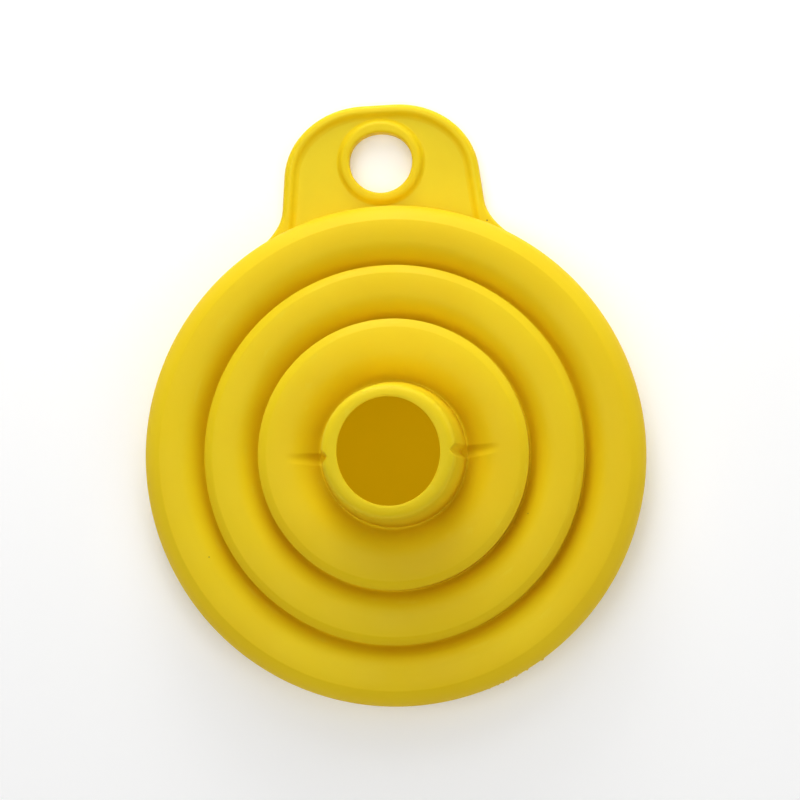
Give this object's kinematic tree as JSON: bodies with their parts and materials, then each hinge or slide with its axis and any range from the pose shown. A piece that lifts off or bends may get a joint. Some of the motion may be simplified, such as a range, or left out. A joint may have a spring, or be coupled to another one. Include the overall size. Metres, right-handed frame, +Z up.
{
  "type": "collapsible funnel",
  "caption": "Collapsible soft silicone funnel folded flat, with stepped rings that pull out into a cone, a vented spout and a hanging tab.",
  "frame": {"origin": "middle of the whole funnel's footprint, tab included, on the mouth plane that it rests on", "axes": "+Z up the spout from the mouth to the spout's tip, +Y from the funnel's axis towards the hanging tab, +X to the right"},
  "size_m": [0.078, 0.0944, 0.0255],
  "materials": {
    "yellow_silicone": "matte moulded silicone, slightly translucent"
  },
  "bodies": {
    "mouth": {"mouth_rim": "yellow_silicone", "hang_tab": "yellow_silicone", "tab_bead": "yellow_silicone", "tab_eyelet": "yellow_silicone", "outer_web": "yellow_silicone"},
    "middle": {"middle_ring": "yellow_silicone", "middle_web": "yellow_silicone"},
    "inner": {"inner_ring": "yellow_silicone", "inner_web": "yellow_silicone"},
    "outlet": {"spout": "yellow_silicone", "spout_lip": "yellow_silicone"}
  },
  "joints": [
    {"name": "outer_fold", "type": "slide", "parent": "mouth", "child": "middle", "axis": [0, 0, 1], "range_m": [0, 0.01], "deforming": ["outer_web"]},
    {"name": "middle_fold", "type": "slide", "parent": "middle", "child": "inner", "axis": [0, 0, 1], "range_m": [0, 0.011], "deforming": ["middle_web"]},
    {"name": "inner_fold", "type": "slide", "parent": "inner", "child": "outlet", "axis": [0, 0, 1], "range_m": [0, 0.012], "deforming": ["inner_web"]}
  ]
}
